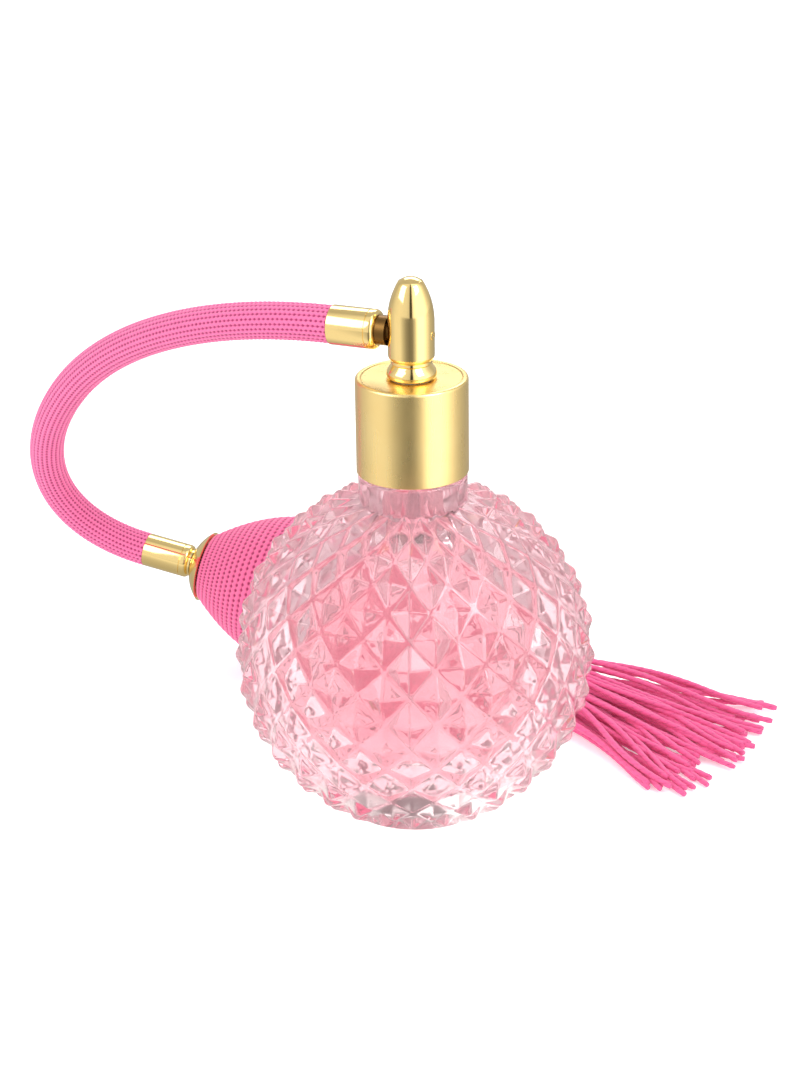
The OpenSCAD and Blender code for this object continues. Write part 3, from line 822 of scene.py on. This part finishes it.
def closed_cord(name, ring, radius, material, sides=10):
    """A ring of twisted cord through a closed loop of points about the local axis."""
    count = len(ring)
    along = np.roll(ring, -1, axis=0) - np.roll(ring, 1, axis=0)
    along /= np.linalg.norm(along, axis=1)[:, None]
    centre = ring.mean(axis=0)
    across = ring - centre
    across /= np.linalg.norm(across, axis=1)[:, None]
    up = np.cross(along, across)
    angle = 2 * np.pi * np.arange(sides)[None, :] / sides
    lap = np.arange(count)[:, None] / count
    wave = np.abs(np.sin(angle - np.pi * 16 * lap))
    radii = radius * (0.85 + 0.15 * wave)
    ways = (np.cos(angle)[..., None] * across[:, None, :]
            + np.sin(angle)[..., None] * up[:, None, :])
    vertices = (ring[:, None, :] + radii[..., None] * ways).reshape(-1, 3)
    faces = []
    for i in range(count):
        j = (i + 1) % count
        for k in range(sides):
            m = (k + 1) % sides
            faces.append((i * sides + k, i * sides + m, j * sides + m, j * sides + k))
    # painted shade: the grooves between the plies are darkened through yarn_height
    obj = link_mesh(name, vertices, faces, material, heights=(0.35 + 0.65 * wave).reshape(-1))
    tidy_normals(obj)
    return obj


def make_loops():
    """The two cord rings that tie the tassel to the bulb."""
    turn = np.linspace(0, 2 * np.pi, 65)[:-1]
    flat = np.stack([2.4 * MM * np.cos(turn), 0 * turn, 2.4 * MM * np.sin(turn)], axis=1)
    upright = closed_cord("tassel_loop_cord", flat, 0.8 * MM, STRAND)
    place_mesh(upright, BULB_FRAME @ Matrix.Translation((0, 0, 62.5 * MM)))
    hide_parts("tassel_loop")
    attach(upright, "bulb")
    level = closed_cord("tassel_link_cord", flat[:, [1, 0, 2]], 0.8 * MM, STRAND)
    place_mesh(level, BULB_FRAME @ Matrix.Translation((0, 0, 65.1 * MM)))
    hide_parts("tassel_link")
    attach(level, "tassel")


make_tassel()
make_loops()

# ---- finishes of the CAD nodes that stay, and painted shade on the hose nipple ----
FINISHES_AND_PAINTED_SHADE = {
    "neck_gasket": SEAL,
    "screw_closure": PLASTIC,
    "stem_core": PLASTIC,
    "stem_o_ring": RUBBER,
    "dip_tube": TUBE,
    "nozzle_insert": GOLD,
    "nozzle_core": PLASTIC,
    # painted shade: the nipple is darkened for the shadow in its narrow gap
    "hose_nipple": PAINTED_SHADE_GOLD,
    "bulb_stem": GOLD,
    "outlet_valve_ball": STEEL,
    "outlet_valve_retainer": PLASTIC,
    "intake_valve_body": GOLD,
    "intake_valve_ball": STEEL,
    "intake_valve_retainer": PLASTIC,
}


def finish_and_shade_nodes():
    for name, material in FINISHES_AND_PAINTED_SHADE.items():
        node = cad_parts[name]
        node.data.materials.clear()
        node.data.materials.append(material)


finish_and_shade_nodes()

# ---- floor, cards and light ----


def make_floor():
    low, high = (0.90, 0.90, 0.90), (0.93, 0.93, 0.93)
    material, shader = make_plain("pale_floor", low, high, 0.6, scale=8)
    shader.inputs["Specular IOR Level"].default_value = 0.0
    shader.inputs["Emission Color"].default_value = (1, 1, 1, 1)
    shader.inputs["Emission Strength"].default_value = 0.35
    mesh = bpy.data.meshes.new("floor")
    half = 4.0
    corners = [(-half, -half, 0), (half, -half, 0), (half, half, 0), (-half, half, 0)]
    mesh.from_pydata(corners, [], [(0, 1, 2, 3)])
    mesh.materials.append(material)
    floor = bpy.data.objects.new("floor", mesh)
    bpy.context.scene.collection.objects.link(floor)


def shiny_only(name, mesh, stops):
    """A surface that only mirrors see. Its glow goes round the bottle's axis by the stops."""
    material = bpy.data.materials.new(name)
    material.use_nodes = True
    tree = material.node_tree
    tree.nodes.clear()
    place = add_node(tree, "ShaderNodeTexCoord")
    turn = add_node(tree, "ShaderNodeTexGradient", gradient_type="RADIAL")
    tree.links.new(place.outputs["Object"], turn.inputs["Vector"])
    warm = [((90 + a) % 360 / 360, (v, v * 0.985, v * 0.95)) for a, v in stops]
    glow = ramp(tree, turn.outputs["Fac"], warm)
    emission = add_node(tree, "ShaderNodeEmission")
    tree.links.new(glow, emission.inputs["Color"])
    output = add_node(tree, "ShaderNodeOutputMaterial")
    tree.links.new(emission.outputs[0], output.inputs["Surface"])
    mesh.materials.append(material)
    obj = bpy.data.objects.new(name, mesh)
    bpy.context.scene.collection.objects.link(obj)
    obj.visible_camera = False
    obj.visible_diffuse = False
    obj.visible_shadow = False
    obj.visible_transmission = False


# glow round the bottle: degrees from the front, to the right, and brightness
TABLE_GLOW = [(-178, 0.50), (-137, 0.50), (-104, 0.75), (-90.5, 0.88), (-89.5, 0.9), (-80, 0.98),
              (-55, 0.98), (-40, 0.62), (-24, 0.34), (-8, 0.22), (6, 0.26), (20, 0.8), (34, 1.9),
              (62, 1.9), (80, 1.2), (104, 0.6), (137, 0.42)]
ROOM_GLOW = [(-178, 0.62), (-150, 0.6), (-120, 0.55), (-90.5, 0.87), (-89.5, 0.88), (-60, 1.0),
             (-25, 0.9), (-9, 0.75), (-5, 0.05), (5, 0.05), (9, 1.1), (25, 1.7), (75, 1.7),
             (100, 0.9), (125, 0.55), (155, 0.6)]


def make_reflections():
    """A glowing table top and dome, for the gold to mirror."""
    sides, rows, radius, lift = 96, 16, 1.6, 0.0002
    turns = [2 * math.pi * k / sides for k in range(sides)]
    ring = [(radius * math.cos(a), radius * math.sin(a)) for a in turns]
    table = bpy.data.meshes.new("mirror_table")
    table.from_pydata([(x, y, lift) for x, y in ring], [], [tuple(range(sides))])
    shiny_only("mirror_table", table, TABLE_GLOW)
    points, faces = [], []
    for i in range(rows + 1):
        rise = math.pi / 2 * 0.999 * i / rows
        points += [(x * math.cos(rise), y * math.cos(rise), radius * math.sin(rise) + lift) for x, y in ring]
    for i in range(rows):
        for k in range(sides):
            a, b = i * sides + k, i * sides + (k + 1) % sides
            faces.append((a, b, b + sides, a + sides))
    dome = bpy.data.meshes.new("mirror_dome")
    dome.from_pydata(points, [], faces)
    shiny_only("mirror_dome", dome, ROOM_GLOW)


def make_light(name, centre, size, power, target=(0, 0, 0.05)):
    data = bpy.data.lights.new(name, "AREA")
    data.shape = "RECTANGLE"
    data.size, data.size_y = size
    data.energy = power
    light = bpy.data.objects.new(name, data)
    bpy.context.scene.collection.objects.link(light)
    aim = Vector(target) - Vector(centre)
    light.matrix_world = Matrix.Translation(centre) @ aim.to_track_quat("-Z", "Y").to_matrix().to_4x4()


def make_studio():
    world = bpy.data.worlds.new("studio")
    bpy.context.scene.world = world
    world.use_nodes = True
    sky = world.node_tree.nodes["Background"]
    sky.inputs["Color"].default_value = (1.0, 1.0, 1.0, 1)
    sky.inputs["Strength"].default_value = 0.75
    make_light("key", (0.7, -0.6, 0.9), (0.6, 0.6), 6)
    make_light("fill", (-0.8, -0.4, 0.7), (0.7, 0.7), 4)
    make_light("back", (0.1, 0.9, 0.8), (0.9, 0.5), 4)
    bpy.context.scene.view_settings.view_transform = "Standard"


make_floor()
make_reflections()
make_studio()

bpy.context.view_layer.update()
